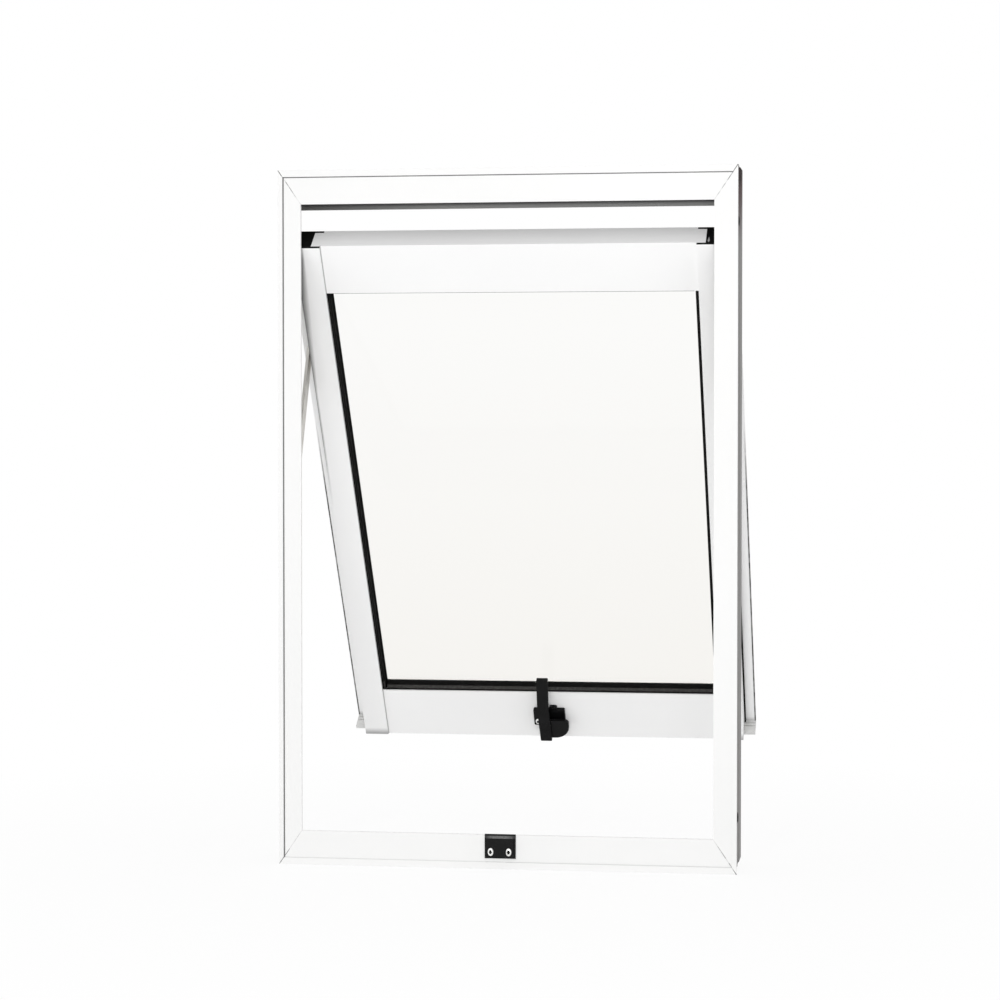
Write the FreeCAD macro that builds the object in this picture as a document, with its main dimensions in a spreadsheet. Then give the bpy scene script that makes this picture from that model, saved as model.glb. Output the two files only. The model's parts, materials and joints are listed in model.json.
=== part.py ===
import FreeCAD
import Part
import math
import os
import re

import Sketcher

# Top hung awning window, 396 x 600 mm, white aluminium, seen open.
# Frame: x across (middle at 0), y from the room to the outdoors, z up.
# The origin is the middle of the sill's flat underside.

doc = FreeCAD.newDocument("AwningWindow")
sheet = doc.addObject("Spreadsheet::Sheet", "Sizes")

SIZES = [
    # The fixed frame, measured over its trim lip
    ("frame_width", 396.0),
    ("frame_height", 600.0),
    ("frame_depth", 62.0),
    ("face_side", 20.0),
    ("face_head", 29.5),
    ("lip_side", 4.0),
    ("lip_head", 5.9),
    ("lip_step", 0.9),
    ("lip_back", 2.4),
    ("web", 1.5),
    ("rib", 1.2),
    ("rib_reach", 3.6),
    ("seal_groove", 4.0),
    ("seal_fit", 0.2),
    ("seal_proud", 0.6),
    ("seal_crown", 1.6),
    ("sill_rise_room", 11.1),
    ("sill_rise_out", 4.1),
    ("sill_top_wall", 1.7),
    ("rain_leg_past", 0.5),
    ("web_groove", 0.5),
    ("groove_from", 12.0),
    ("groove_to", 31.0),
    ("fixing_end", 47.5),
    ("fixing_depth", 9.0),
    ("fixing_hole", 9.0),
    # The sash: two through stiles, and two rails set back between them
    ("sash_overlap_top", 10.0),
    ("sash_overlap_bottom", 5.0),
    ("sash_set", 4.3),
    ("sash_depth", 26.5),
    ("rail_set", 1.5),
    ("sash_wall", 1.4),
    ("stile_face", 22.4),
    ("top_rail_face", 48.0),
    ("bottom_rail_face", 55.0),
    ("glass_pocket", 8.0),
    ("stop_bevel", 6.0),
    ("bevel_foot", 2.2),
    ("bevel_top", 1.1),
    ("flange_play", 0.5),
    ("flange_notch", 16.0),
    ("bottom_flange", 10.0),
    ("open_angle", 34.8),
    ("cap_thick", 1.2),
    ("cap_width", 14.6),
    ("cap_rim", 1.0),
    ("cap_rim_out", 2.8),
    ("cap_play", 0.1),
    # Foot plug and rubber strip in the corner of each stile and its flange
    ("plug_from", 8.0),
    ("plug_high", 3.2),
    ("plug_groove_one", 8.7),
    ("plug_groove_two", 13.0),
    ("plug_groove_wide", 1.7),
    ("plug_groove_deep", 2.0),
    ("strip_width", 1.5),
    ("strip_depth", 2.6),
    ("strip_gap", 1.0),
    # Glass and its gaskets
    ("glass_thick", 4.0),
    ("glass_depth", 12.9),
    ("glass_bite", 6.0),
    ("gasket_outer", 1.6),
    ("gasket_bite", 4.0),
    ("gasket_wall", 1.2),
    ("gasket_foot", 3.7),
    ("gasket_toe", 1.1),
    ("gasket_step", 0.9),
    ("gasket_step_in", 2.8),
    ("gasket_gap", 0.3),
    # The friction stays
    ("shoe_down", 4.2),
    ("stay_upper", 117.0),
    ("stay_lower", 158.0),
    ("track_width", 14.0),
    ("track_wall", 1.2),
    ("track_height", 4.6),
    ("track_lip", 1.4),
    ("track_above", 15.0),
    ("track_below", 26.0),
    ("shoe_length", 26.0),
    ("shoe_play", 0.3),
    ("arm_width", 12.0),
    ("arm_thick", 2.5),
    ("arm_play", 0.7),
    ("bar_width", 13.0),
    ("bar_thick", 2.5),
    ("bar_play", 1.2),
    ("bar_edge", 1.1),
    ("bar_past", 34.0),
    ("pivot_radius", 2.2),
    ("rivet_head", 3.8),
    ("rivet_crown", 0.5),
    ("spacer_radius", 3.2),
    ("spacer_play", 0.1),
    ("pin_fit", 0.1),
    # Handle on the bottom rail, measured from its pin
    ("pin_left", 5.3),
    ("handle_up", 22.3),
    ("base_left", 11.0),
    ("base_width", 30.4),
    ("base_below", 5.4),
    ("base_height", 19.4),
    ("base_thick", 3.5),
    ("base_round", 1.2),
    ("boss_radius", 5.0),
    ("tab_right", 4.8),
    ("tab_width", 7.2),
    ("tab_height", 3.4),
    ("tab_set", 0.5),
    ("lever_width", 11.0),
    ("lever_thick", 2.8),
    ("lever_top", 60.0),
    ("lever_tail", 17.0),
    ("lever_round", 1.0),
    ("lever_knee", 22.0),
    ("lever_bend", 30.0),
    ("lever_lean", 2.0),
    ("tail_lean", 0.8),
    ("cam_thick", 3.2),
    ("cam_gap", 0.5),
    ("cam_left", 4.6),
    ("cam_reach", 23.4),
    ("cam_above", 6.2),
    ("cam_below", 15.2),
    ("cam_round_top", 4.5),
    ("cam_round_foot", 14.0),
    ("handle_pin", 3.0),
    ("handle_pin_head", 4.2),
    ("handle_pin_fit", 0.2),
    ("pin_head_thick", 1.2),
    ("pin_head_play", 0.1),
    # Keeper on the sill, low enough for the cam to pass in front of it
    ("keeper_left", 4.2),
    ("keeper_width", 26.8),
    ("keeper_up", 3.4),
    ("keeper_past", 0.7),
    ("keeper_plate", 1.0),
    ("keeper_depth", 2.4),
    ("keeper_inset", 1.9),
    ("keeper_rim", 0.9),
    ("keeper_ramp", 3.0),
    ("keeper_play", 0.3),
    # How far a cutting shape runs past what it cuts
    ("cut_past", 1.0),
]

# Sizes that follow from the ones above
FOLLOWS = {
    "sash_height": "(frame_height - 2 * face_head + sash_overlap_top + sash_overlap_bottom)",
    "sash_gap_side": "(web + track_height + arm_play + arm_thick + bar_play + bar_thick)",
    "sash_half": "(frame_width / 2 - sash_gap_side)",
    "side_flange": "(sash_gap_side - web - flange_play)",
    "stop_depth": "(glass_depth + glass_thick + gasket_outer)",
    "shoe_depth": "(flange_face - bar_width / 2 - bar_edge)",
    "cam_back": "(sash_set + rail_set - lip_step + keeper_depth + keeper_play)",
    "lever_back": "(cam_back + cam_thick)",
    "lever_front": "(lever_back + lever_thick)",
    "pocket_front": "(rail_set + sash_wall)",
    "flange_face": "(sash_depth - sash_wall)",
    "strip_top": "(shoe_down + stay_upper + bar_past + strip_gap)",
    "sill_room_edge": "(lip_head + sill_rise_room)",
    "sill_out_edge": "(lip_head + sill_rise_out)",
}

for row, (alias, value) in enumerate(SIZES, start=1):
    sheet.set("A%d" % row, alias)
    sheet.set("B%d" % row, str(value))
    sheet.setAlias("B%d" % row, alias)
doc.recompute()

ALIASES = re.compile(r"\b(" + "|".join(alias for alias, _ in SIZES) + r")\b")
FOLLOWERS = re.compile(r"\b(" + "|".join(FOLLOWS) + r")\b")


def formula(text):
    """A size formula as the document reads it, each name taken from the sheet."""
    while FOLLOWERS.search(text):
        text = FOLLOWERS.sub(lambda found: FOLLOWS[found.group(1)], text)
    return ALIASES.sub(r"Sizes.\1", text)


def number(text):
    """The value that a size formula has now."""
    return float(sheet.evalExpression(formula(text)))


nodes = []


def keep(item, name, placement):
    """Name a finished sub-part and put it in its place."""
    item.Label = name
    item.Placement = placement
    nodes.append(item)
    return item


def origin_plane(body, role):
    for feature in body.Origin.OriginFeatures:
        if feature.Role == role:
            return feature
    raise ValueError(role)


def outline(body, name, role, loops):
    """A sketch of closed loops; every corner is a pair of size formulas."""
    sketch = body.newObject("Sketcher::SketchObject", name)
    sketch.AttachmentSupport = [(origin_plane(body, role), "")]
    sketch.MapMode = "FlatFace"
    bindings = []
    for corners in loops:
        first = sketch.GeometryCount
        count = len(corners)
        places = [FreeCAD.Vector(number(a), number(b), 0) for a, b in corners]
        sides = [Part.LineSegment(places[i], places[(i + 1) % count]) for i in range(count)]
        sketch.addGeometry(sides, False)
        for i in range(count):
            joint = Sketcher.Constraint("Coincident", first + i, 2, first + (i + 1) % count, 1)
            sketch.addConstraint(joint)
        for i, (a, b) in enumerate(corners):
            for kind, text in (("DistanceX", a), ("DistanceY", b)):
                rule = Sketcher.Constraint(kind, -1, 1, first + i, 1, number(text))
                bindings.append((sketch.addConstraint(rule), text))
    for index, text in bindings:
        sketch.setExpression("Constraints[%d]" % index, formula(text))
    return sketch


def pad(body, name, sketch, length):
    """Extrude a section the same way up and down its length."""
    feature = body.newObject("PartDesign::Pad", name)
    feature.Profile = sketch
    feature.Midplane = True
    feature.setExpression("Length", formula(length))
    sketch.Visibility = False
    doc.recompute()
    return feature


def pocket(body, name, sketch, length):
    """Cut a sketch through the body, and make sure that it did cut."""
    before = body.Shape.Volume
    feature = body.newObject("PartDesign::Pocket", name)
    feature.Profile = sketch
    feature.Midplane = True
    feature.setExpression("Length", formula(length))
    doc.recompute()
    if body.Shape.Volume > before - 0.01:
        raise RuntimeError(name + " cut nothing")
    return feature


def new_body(name):
    return doc.addObject("PartDesign::Body", name)


# Places. A section is drawn in u (in from the outer edge) and v (out from the room),
# and a turn about y sets the member on its side of the window.
TURN = {"left": 0, "head": 90, "right": 180, "sill": -90}
Y_AXIS = FreeCAD.Vector(0, 1, 0)
X_AXIS = FreeCAD.Vector(1, 0, 0)


def turned(side):
    return FreeCAD.Rotation(Y_AXIS, TURN[side])


def in_window(x=0.0, y=0.0, z=0.0, rotation=None):
    """A place from the middle of the lip's lower edge, moved to the part's origin."""
    base = FreeCAD.Vector(x, y - number("frame_depth") / 2, z - number("lip_head"))
    return FreeCAD.Placement(base, rotation or FreeCAD.Rotation())


width = number("frame_width")
height = number("frame_height")
frame_edge = {
    "left": (-width / 2, height / 2),
    "right": (width / 2, height / 2),
    "head": (0.0, height),
    "sill": (0.0, 0.0),
}

# The open pose follows from the stays: the shoe runs straight down the track,
# the arm turns on the jamb and carries the sash at its far pivot.
open_angle = math.radians(number("open_angle"))
arm_angle = math.asin(number("stay_upper") / number("stay_lower") * math.sin(open_angle))
shoe_drop = (number("stay_upper") * (1 - math.cos(open_angle))
             + number("stay_lower") * (1 - math.cos(arm_angle)))
track_y = number("sash_set + shoe_depth")
shoe_closed_z = number("frame_height - face_head + sash_overlap_top - shoe_down")
shoe_z = shoe_closed_z - shoe_drop
arm_foot_z = shoe_closed_z - number("stay_upper + stay_lower")
sash_y = (track_y - number("shoe_depth") * math.cos(open_angle)
          - number("shoe_down") * math.sin(open_angle))
sash_z = (shoe_z - number("shoe_depth") * math.sin(open_angle)
          + number("shoe_down") * math.cos(open_angle))
sash_place = in_window(0, sash_y, sash_z, FreeCAD.Rotation(X_AXIS, number("open_angle")))


def in_sash(x=0.0, y=0.0, z=0.0, rotation=None):
    """A place on the sash: x across, y out from its room face, z up from its top edge."""
    local = FreeCAD.Placement(FreeCAD.Vector(x, y, z), rotation or FreeCAD.Rotation())
    return sash_place.multiply(local)


# Frame members

def frame_face(face, lip):
    """Room side leg: a proud trim lip, the face behind it, and two ribs for the seal."""
    return [
        ("0", "0"),
        (lip, "0"),
        (lip, "lip_step"),
        (face, "lip_step"),
        (face, "rib_reach"),
        (face + " - rib", "rib_reach"),
        (face + " - rib", "lip_back"),
        (face + " - rib - seal_groove", "lip_back"),
        (face + " - rib - seal_groove", "rib_reach"),
        (face + " - 2 * rib - seal_groove", "rib_reach"),
        (face + " - 2 * rib - seal_groove", "lip_back"),
        ("0", "lip_back"),
    ]


def mitre_ends(length, face, run):
    """Two wedges that cut a member from its outer corner to its inner corner."""
    slope = "(" + run + ") / (" + face + ")"
    end = length + " / 2"
    corners = [
        ("-cut_past", end + " + cut_past * " + slope),
        (face + " + cut_past", end + " - (" + face + " + cut_past) * " + slope),
        (face + " + cut_past", end + " + 5 * cut_past"),
        ("-cut_past", end + " + 5 * cut_past"),
    ]
    return [corners, [(a, "-(" + b + ")") for a, b in corners]]


def jamb_web():
    """The jamb's side wall, with a shallow groove along its outer face."""
    return [[
        ("0", "lip_back"),
        ("web", "lip_back"),
        ("web", "frame_depth"),
        ("0", "frame_depth"),
        ("0", "groove_to"),
        ("web_groove", "groove_to"),
        ("web_groove", "groove_from"),
        ("0", "groove_from"),
    ]]


def head_web():
    """The head's top wall with a rain leg that hangs at its outdoor edge."""
    return [[
        ("lip_head", "lip_back"),
        ("lip_head + web", "lip_back"),
        ("lip_head + web", "frame_depth - web"),
        ("face_head + rain_leg_past", "frame_depth - web"),
        ("face_head + rain_leg_past", "frame_depth"),
        ("lip_head", "frame_depth"),
    ]]


def sill_web():
    """The sill is a hollow wedge, so that rain runs off its sloped top."""
    return [
        [
            ("lip_head", "lip_back"),
            ("sill_room_edge", "lip_back"),
            ("sill_out_edge", "frame_depth"),
            ("lip_head", "frame_depth"),
        ],
        [
            ("lip_head + web", "lip_back + web"),
            ("sill_room_edge - sill_top_wall", "lip_back + web"),
            ("sill_out_edge - sill_top_wall", "frame_depth - web"),
            ("lip_head + web", "frame_depth - web"),
        ],
    ]


def frame_member(side):
    upright = side in ("left", "right")
    name = {"left": "frame_jamb_left", "right": "frame_jamb_right",
            "head": "frame_head", "sill": "frame_sill"}[side]
    face = "face_side" if upright else "face_head"
    lip = "lip_side" if upright else "lip_head"
    run = "face_head" if upright else "face_side"
    length = "frame_height" if upright else "frame_width"
    body = new_body(name)
    pad(body, name + "_face", outline(body, name + "_face_outline", "XY_Plane",
                                      [frame_face(face, lip)]), length)
    wedges = outline(body, name + "_mitre_outline", "XZ_Plane", mitre_ends(length, face, run))
    pocket(body, name + "_mitre", wedges, "4 * frame_depth")
    section = {"left": jamb_web, "right": jamb_web, "head": head_web, "sill": sill_web}[side]()
    web_outline = outline(body, name + "_web_outline", "XY_Plane", section)
    if upright:
        # The side walls stand on the sill's flat underside and end level with the lip's top
        up = "" if side == "left" else "-"
        web_outline.setExpression("AttachmentOffset.Base.z", formula(up + "lip_head / 2"))
        pad(body, name + "_web", web_outline, "frame_height - lip_head")
        drill_fixings(body, name)
    else:
        pad(body, name + "_web", web_outline, "frame_width - 2 * web")
    x, z = frame_edge[side]
    return keep(body, name, in_window(x, 0, z, turned(side)))


def drill_fixings(body, name):
    """Two fixing holes through the jamb's web, for the screws into the wall."""
    sketch = body.newObject("Sketcher::SketchObject", name + "_fixing_outline")
    sketch.AttachmentSupport = [(origin_plane(body, "YZ_Plane"), "")]
    sketch.MapMode = "FlatFace"
    up = "frame_height / 2 - fixing_end"
    for sign in ("", "-"):
        centre = FreeCAD.Vector(number("fixing_depth"), number(sign + "(" + up + ")"), 0)
        circle = Part.Circle(centre, FreeCAD.Vector(0, 0, 1), number("fixing_hole") / 2)
        hole = sketch.addGeometry(circle, False)
        for kind, text in (("DistanceX", "fixing_depth"), ("DistanceY", sign + "(" + up + ")")):
            rule = sketch.addConstraint(Sketcher.Constraint(kind, -1, 1, hole, 3, number(text)))
            sketch.setExpression("Constraints[%d]" % rule, formula(text))
        size = Sketcher.Constraint("Diameter", hole, number("fixing_hole"))
        rule = sketch.addConstraint(size)
        sketch.setExpression("Constraints[%d]" % rule, formula("fixing_hole"))
    pocket(body, name + "_fixing_holes", sketch, "4 * web")


for side in ("left", "right", "head", "sill"):
    frame_member(side)


# Weather seals in the frame, between the two ribs behind the face

def seal_section(face):
    far = face + " - rib - seal_fit"
    near = face + " - rib - seal_groove + seal_fit"
    middle = face + " - rib - seal_groove / 2"
    return [
        (near, "lip_back"),
        (far, "lip_back"),
        (far, "rib_reach"),
        (middle + " + seal_crown / 2", "rib_reach + seal_proud"),
        (middle + " - seal_crown / 2", "rib_reach + seal_proud"),
        (near, "rib_reach"),
    ]


def frame_seal(side):
    upright = side in ("left", "right")
    name = {"left": "frame_seal_left", "right": "frame_seal_right",
            "head": "frame_seal_head", "sill": "frame_seal_sill"}[side]
    face = "face_side" if upright else "face_head"
    run = "face_head" if upright else "face_side"
    length = "frame_height" if upright else "frame_width"
    body = new_body(name)
    pad(body, name + "_strip", outline(body, name + "_outline", "XY_Plane",
                                       [seal_section(face)]), length)
    wedges = outline(body, name + "_mitre_outline", "XZ_Plane", mitre_ends(length, face, run))
    pocket(body, name + "_mitre", wedges, "4 * frame_depth")
    x, z = frame_edge[side]
    return keep(body, name, in_window(x, 0, z, turned(side)))


for side in ("left", "right", "head", "sill"):
    frame_seal(side)


# Sash members

def sash_section(face, front, flange):
    """A tube with a pocket for the glass, a bevelled outdoor edge and an outer flange."""
    outer = [
        ("0", front),
        (face, front),
        (face, "pocket_front"),
        (face + " - glass_pocket", "pocket_front"),
        (face + " - glass_pocket", "stop_depth"),
        (face, "stop_depth"),
        (face, "stop_depth + sash_wall"),
        (face + " - stop_bevel", "sash_depth"),
    ]
    if flange:
        outer += [
            ("-" + flange, "sash_depth"),
            ("-" + flange, "flange_face"),
            ("0", "flange_face"),
        ]
    else:
        outer += [("0", "sash_depth")]
    inner = [
        ("sash_wall", front + " + sash_wall"),
        (face + " - glass_pocket - sash_wall", front + " + sash_wall"),
        (face + " - glass_pocket - sash_wall", "stop_depth + sash_wall"),
        (face + " - bevel_foot", "stop_depth + sash_wall"),
        (face + " - stop_bevel - bevel_top", "flange_face"),
        ("sash_wall", "flange_face"),
    ]
    return [outer, inner]


sash_low = -number("sash_height")
sash_edge = {
    "left": (-number("sash_half"), sash_low / 2),
    "right": (number("sash_half"), sash_low / 2),
    "head": (0.0, 0.0),
    "sill": (0.0, sash_low),
}


def stile(side):
    """An upright closed at both ends; its top fills the space between the cap's rims."""
    name = "sash_stile_" + side
    body = new_body(name)
    section = outline(body, name + "_outline", "XY_Plane",
                      sash_section("stile_face", "0", "side_flange"))
    pad(body, name + "_tube", section, "sash_height - cap_thick")
    top = "" if side == "left" else "-"
    foot = "-" if side == "left" else ""
    end = "(sash_height - cap_thick) / 2"
    notch = outline(body, name + "_notch_outline", "XZ_Plane", [[
        ("-side_flange - cut_past", top + "(" + end + " + cut_past)"),
        ("0", top + "(" + end + " + cut_past)"),
        ("0", top + "(" + end + " - flange_notch)"),
        ("-side_flange - cut_past", top + "(" + end + " - flange_notch)"),
    ]])
    pocket(body, name + "_notch", notch, "4 * sash_depth")
    plate_far = "stile_face - glass_pocket - sash_wall / 2"
    plates = outline(body, name + "_end_outline", "XZ_Plane", [[
        ("sash_wall / 2", way + "(" + end + ")"),
        (plate_far, way + "(" + end + ")"),
        (plate_far, way + "(" + end + " - sash_wall)"),
        ("sash_wall / 2", way + "(" + end + " - sash_wall)"),
    ] for way in (top, foot)])
    plates.setExpression("AttachmentOffset.Base.z", formula("-sash_depth / 2"))
    pad(body, name + "_ends", plates, "sash_depth - sash_wall")
    tongue = outline(body, name + "_tongue_outline", "XZ_Plane", [[
        ("cap_width + cap_play", top + "(" + end + " + cap_thick)"),
        ("stile_face", top + "(" + end + " + cap_thick)"),
        ("stile_face", top + "(" + end + " - sash_wall)"),
        ("cap_width + cap_play", top + "(" + end + " - sash_wall)"),
    ]])
    middle = "-(sash_depth + cap_rim - cap_rim_out) / 2"
    tongue.setExpression("AttachmentOffset.Base.z", formula(middle))
    pad(body, name + "_tongue", tongue, "sash_depth - cap_rim - cap_rim_out - 2 * cap_play")
    x, z = sash_edge[side]
    z -= number("cap_thick") / 2
    return keep(body, name, in_sash(x, 0, z, turned(side)))


def rail(side, face, flange):
    name = {"head": "sash_top_rail", "sill": "sash_bottom_rail"}[side]
    body = new_body(name)
    section = outline(body, name + "_outline", "XY_Plane", sash_section(face, "rail_set", flange))
    pad(body, name + "_tube", section, "2 * sash_half - 2 * stile_face")
    x, z = sash_edge[side]
    return keep(body, name, in_sash(x, 0, z, turned(side)))


stile("left")
stile("right")
rail("head", "top_rail_face", "")
rail("sill", "bottom_rail_face", "bottom_flange")


def box(name, corner, sizes, place=in_sash):
    """A plain block whose three sizes are bound to the sheet."""
    block = doc.addObject("Part::Box", name)
    for prop, text in zip(("Length", "Width", "Height"), sizes):
        block.setExpression(prop, formula(text))
    x, y, z = (number(text) for text in corner)
    return keep(block, name, place(x, y, z))


glass_half = "sash_half - stile_face + glass_bite"
glass_low = "-sash_height + bottom_rail_face - glass_bite"
glass_high = "-top_rail_face + glass_bite"
box("glass_pane",
    ("-(" + glass_half + ")", "glass_depth", glass_low),
    ("2 * (" + glass_half + ")", "glass_thick", glass_high + " - (" + glass_low + ")"))


def stile_cap(side):
    """Black cap on the stile's top end: a block with two thin rims towards the rail."""
    name = "sash_cap_" + side
    plate = [
        ("0", "0"),
        ("stile_face", "0"),
        ("stile_face", "cap_rim"),
        ("cap_width", "cap_rim"),
        ("cap_width", "sash_depth - cap_rim_out"),
        ("stile_face", "sash_depth - cap_rim_out"),
        ("stile_face", "sash_depth"),
        ("0", "sash_depth"),
    ]
    body = new_body(name)
    pad(body, name + "_plate", outline(body, name + "_outline", "XY_Plane", [plate]), "cap_thick")
    x = sash_edge[side][0]
    return keep(body, name, in_sash(x, 0, -number("cap_thick") / 2, turned(side)))


def stile_plug(side):
    """Plastic plug that closes the foot of the corner between a stile and its flange."""
    name = "sash_plug_" + side
    top = "" if side == "left" else "-"
    high = top + "plug_high"
    low = top + "(plug_high - plug_groove_deep)"
    corners = [("flange_face", "0"), ("flange_face", high)]
    for groove in ("plug_groove_two", "plug_groove_one"):
        near = "plug_from + " + groove
        far = near + " + plug_groove_wide"
        corners += [(far, high), (far, low), (near, low), (near, high)]
    corners += [("plug_from", high), ("plug_from", "0")]
    body = new_body(name)
    profile = outline(body, name + "_outline", "YZ_Plane", [corners])
    profile.setExpression("AttachmentOffset.Base.z", formula("-side_flange / 2"))
    pad(body, name + "_block", profile, "side_flange")
    return keep(body, name, in_sash(sash_edge[side][0], 0, sash_low, turned(side)))


def stile_strip(side):
    """Rubber strip in the same corner, from the foot of the sash bar to the plug."""
    name = "sash_seal_" + side
    body = new_body(name)
    section = outline(body, name + "_outline", "XY_Plane", [[
        ("-strip_width", "flange_face - strip_depth"),
        ("0", "flange_face - strip_depth"),
        ("0", "flange_face"),
        ("-strip_width", "flange_face"),
    ]])
    pad(body, name + "_strip", section, "sash_height - plug_high - strip_top")
    middle = number("-(sash_height - plug_high + strip_top) / 2")
    return keep(body, name, in_sash(sash_edge[side][0], 0, middle, turned(side)))


for side in ("left", "right"):
    stile_cap(side)
    stile_plug(side)
    stile_strip(side)


# Gaskets round the glass

def inner_gasket_section(face):
    """From the room: a lip, a slanted step, a flat, and the foot that meets the glass."""
    return [
        (face + " - gasket_bite", "pocket_front"),
        (face + " + gasket_wall", "pocket_front"),
        (face + " + gasket_wall", "pocket_front + gasket_step_in"),
        (face + " + gasket_wall + gasket_step", "pocket_front + gasket_step_in + gasket_step"),
        (face + " + gasket_wall + gasket_step", "glass_depth - 2 * gasket_toe"),
        (face + " + gasket_foot", "glass_depth - gasket_toe"),
        (face + " + gasket_foot", "glass_depth"),
        (face + " - gasket_bite", "glass_depth"),
    ]


def outer_gasket_section(face):
    return [
        (face + " - gasket_bite", "glass_depth + glass_thick"),
        (face + " + gasket_toe", "glass_depth + glass_thick"),
        (face + " + gasket_toe / 2", "stop_depth"),
        (face + " - gasket_bite", "stop_depth"),
    ]


opening_middle = "-(sash_height + top_rail_face - bottom_rail_face) / 2"
opening_height = "(sash_height - top_rail_face - bottom_rail_face)"
opening_width = "(2 * sash_half - 2 * stile_face)"


def gasket(kind, side):
    name = {"inner": "glass_gasket_inner_", "outer": "glass_gasket_outer_"}[kind] + \
        {"left": "left", "right": "right", "head": "top", "sill": "bottom"}[side]
    upright = side in ("left", "right")
    face = {"left": "stile_face", "right": "stile_face",
            "head": "top_rail_face", "sill": "bottom_rail_face"}[side]
    section = {"inner": inner_gasket_section, "outer": outer_gasket_section}[kind](face)
    reach = {"inner": "gasket_foot", "outer": "gasket_toe"}[kind]
    if upright:
        length = opening_height + " + 2 * gasket_bite"
    else:
        length = opening_width + " - 2 * " + reach + " - 2 * gasket_gap"
    body = new_body(name)
    pad(body, name + "_strip", outline(body, name + "_outline", "XY_Plane", [section]), length)
    x, z = sash_edge[side]
    if upright:
        z = number(opening_middle)
    return keep(body, name, in_sash(x, 0, z, turned(side)))


for kind in ("inner", "outer"):
    for side in ("left", "right", "head", "sill"):
        gasket(kind, side)


# Friction stays. Layers are counted inward from the jamb's web.

track_half = "track_width / 2"
slot_half = "(track_width / 2 - track_wall - track_lip)"
arm_layer = number("track_height + arm_play")
bar_layer = number("track_height + arm_play + arm_thick + bar_play")
past = number("cut_past")


def side_place(side, layer, y, z, rotation=None):
    """A place counted in from the left or right jamb's web, at y and z of the frame."""
    sign = -1 if side == "left" else 1
    x = sign * (width / 2 - number("web") - layer)
    return in_window(x, y, z, rotation)


def track(side):
    name = "stay_track_" + side
    section = [[
        ("0", "-" + track_half),
        ("track_height", "-" + track_half),
        ("track_height", "-" + slot_half),
        ("track_height - track_wall", "-" + slot_half),
        ("track_height - track_wall", "-" + track_half + " + track_wall"),
        ("track_wall", "-" + track_half + " + track_wall"),
        ("track_wall", track_half + " - track_wall"),
        ("track_height - track_wall", track_half + " - track_wall"),
        ("track_height - track_wall", slot_half),
        ("track_height", slot_half),
        ("track_height", track_half),
        ("0", track_half),
    ]]
    body = new_body(name)
    length = "stay_upper + stay_lower + track_above + track_below"
    pad(body, name + "_channel", outline(body, name + "_outline", "XY_Plane", section), length)
    middle = arm_foot_z + number("(stay_upper + stay_lower + track_above - track_below) / 2")
    return keep(body, name, side_place(side, 0, track_y, middle, turned(side)))


def shape_node(name, shape, placement):
    """A sub-part whose form is set here from sizes of the sheet."""
    item = doc.addObject("Part::Feature", name)
    item.Shape = shape.removeSplitter()
    return keep(item, name, placement)


def stay_node(name, side, shape, placement):
    """A stay's piece, drawn for the left side and mirrored for the right."""
    if side == "right":
        shape = shape.mirror(FreeCAD.Vector(), X_AXIS)
    return shape_node("stay_" + name + "_" + side, shape, placement)


def rod(radius, start, end, y=0.0, z=0.0):
    """A round rod along x from start to end."""
    return Part.makeCylinder(radius, end - start, FreeCAD.Vector(start, y, z), X_AXIS)


def link_plate(length, plate_width, thick, radius):
    """A flat link with round ends and a hole at each pivot, lying in y and z."""
    half = plate_width / 2
    points = [FreeCAD.Vector(0, -half, 0), FreeCAD.Vector(0, -half, length),
              FreeCAD.Vector(0, half, length), FreeCAD.Vector(0, half, 0)]
    top = Part.Arc(points[1], FreeCAD.Vector(0, 0, length + half), points[2])
    foot = Part.Arc(points[3], FreeCAD.Vector(0, 0, -half), points[0])
    edges = [Part.LineSegment(points[0], points[1]).toShape(), top.toShape(),
             Part.LineSegment(points[2], points[3]).toShape(), foot.toShape()]
    plate = Part.Face(Part.Wire(edges)).extrude(FreeCAD.Vector(thick, 0, 0))
    for z in (0, length):
        plate = plate.cut(rod(radius, -past, thick + past, 0, z))
    return plate


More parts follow.
